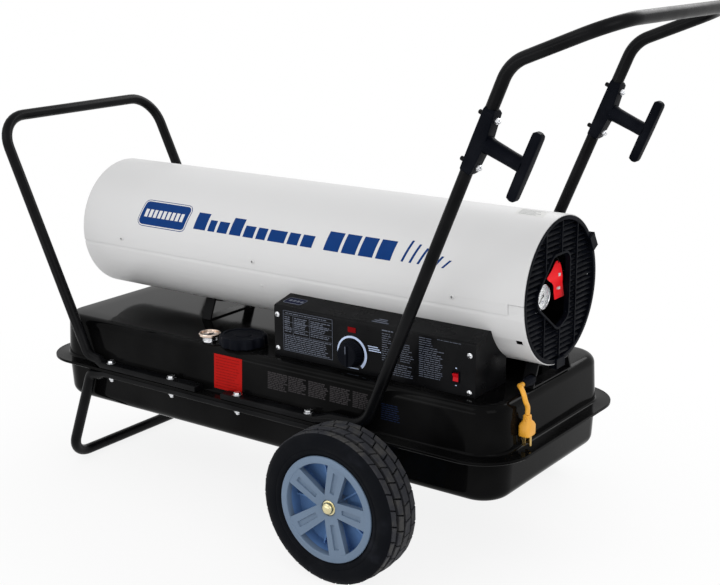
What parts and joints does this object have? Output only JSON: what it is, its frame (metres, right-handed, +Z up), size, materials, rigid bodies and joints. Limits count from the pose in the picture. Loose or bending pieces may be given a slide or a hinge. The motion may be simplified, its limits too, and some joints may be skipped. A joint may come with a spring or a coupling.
{
  "type": "forced air heater",
  "caption": "Portable kerosene forced air heater: a horizontal steel barrel with fan guard on a flat fuel tank, bent tube handles, a foot loop and spoked wheels.",
  "frame": {"origin": "on the ground, under the middle of the heater's length and width", "axes": "+Z up, +X towards the fan end, the hot air leaves at -X, and the controls face -Y"},
  "size_m": [1.288, 0.664, 0.893],
  "materials": {
    "black_gloss": "gloss",
    "black_satin": "satin",
    "white_paint": "gloss",
    "black_plastic": "matte",
    "blue_plastic": "satin",
    "red_plastic": "gloss",
    "yellow_plastic": "satin",
    "white_ceramic": "gloss",
    "green_board": "satin",
    "tyre": "matte",
    "rubber": "matte",
    "zinc": "satin",
    "yellow_zinc": "satin",
    "steel": "satin",
    "stainless": "satin",
    "chrome": "gloss",
    "aluminium": "satin",
    "brass": "satin"
  },
  "bodies": {
    "heater": {"tank_upper": "black_gloss", "tank_lower": "black_gloss", "filler_neck": "steel", "fuel_gauge": "chrome", "axle": "zinc", "axle_spacer_near": "yellow_zinc", "cap_nut_near": "yellow_zinc", "axle_spacer_far": "yellow_zinc", "cap_nut_far": "yellow_zinc", "wheel_frame": "black_satin", "front_handle": "black_satin", "rear_handle": "black_satin", "handle_bolt_near_1": "zinc", "handle_bolt_near_2": "zinc", "handle_bolt_near_3": "zinc", "handle_bolt_near_4": "zinc", "handle_bolt_far_1": "zinc", "handle_bolt_far_2": "zinc", "handle_bolt_far_3": "zinc", "handle_bolt_far_4": "zinc", "cord_cleat_near": "black_satin", "cord_cleat_far": "black_satin", "upper_shell": "white_paint", "lower_shell": "white_paint", "front_support": "black_satin", "rear_support": "black_satin", "combustion_chamber": "stainless", "chamber_bracket_front": "steel", "chamber_bracket_rear": "steel", "outlet_baffle": "stainless", "burner_head": "steel", "nozzle_adapter": "brass", "igniter": "white_ceramic", "motor": "steel", "motor_bracket": "steel", "pump_body": "aluminium", "pump_end_cover": "aluminium", "pressure_gauge": "chrome", "fan_guard": "black_plastic", "air_hose": "rubber", "fuel_hose": "rubber", "side_cover": "black_satin", "far_side_cover": "black_satin", "switch_bezel": "black_plastic", "display_window": "red_plastic", "control_board": "green_board", "strain_relief": "black_plastic", "power_cord": "yellow_plastic", "power_plug": "yellow_plastic"},
    "wheel_near": {"tyre_near": "tyre", "hub_near": "blue_plastic"},
    "wheel_far": {"tyre_far": "tyre", "hub_far": "blue_plastic"},
    "fan_rotor": {"fan": "aluminium", "motor_shaft": "steel"},
    "thermostat": {"thermostat_knob": "black_plastic"},
    "rocker": {"rocker_switch": "red_plastic"},
    "cap": {"fuel_cap": "black_plastic"},
    "fuel_needle": {"fuel_gauge_pointer": "red_plastic"},
    "pressure_needle": {"pressure_pointer": "red_plastic"}
  },
  "joints": [
    {"name": "near_wheel_spin", "type": "hinge", "parent": "heater", "child": "wheel_near", "pos_m": [0.23, -0.294, 0.127], "axis": [0, 1, 0], "continuous": true},
    {"name": "far_wheel_spin", "type": "hinge", "parent": "heater", "child": "wheel_far", "pos_m": [0.23, 0.294, 0.127], "axis": [0, 1, 0], "continuous": true},
    {"name": "fan_spin", "type": "hinge", "parent": "heater", "child": "fan_rotor", "pos_m": [0.238, 0, 0.4432], "axis": [1, 0, 0], "continuous": true},
    {"name": "thermostat_turn", "type": "hinge", "parent": "heater", "child": "thermostat", "pos_m": [0.1576, -0.1568, 0.324], "axis": [0, -1, 0], "range_deg": [-135, 135]},
    {"name": "switch_rock", "type": "hinge", "parent": "heater", "child": "rocker", "pos_m": [0.3596, -0.1568, 0.3224], "axis": [1, 0, 0], "range_deg": [-20, 0]},
    {"name": "cap_lift", "type": "slide", "parent": "heater", "child": "cap", "axis": [0, 0, 1], "range_m": [0, 0.06]},
    {"name": "fuel_needle_turn", "type": "hinge", "parent": "heater", "child": "fuel_needle", "pos_m": [-0.152, -0.163, 0.3056], "axis": [0, 0, 1], "range_deg": [-80, 80]},
    {"name": "pressure_needle_turn", "type": "hinge", "parent": "heater", "child": "pressure_needle", "pos_m": [0.4332, -0.018, 0.433], "axis": [1, 0, 0], "range_deg": [-270, 0], "stiffness_Nm_per_rad": 0.0001}
  ]
}
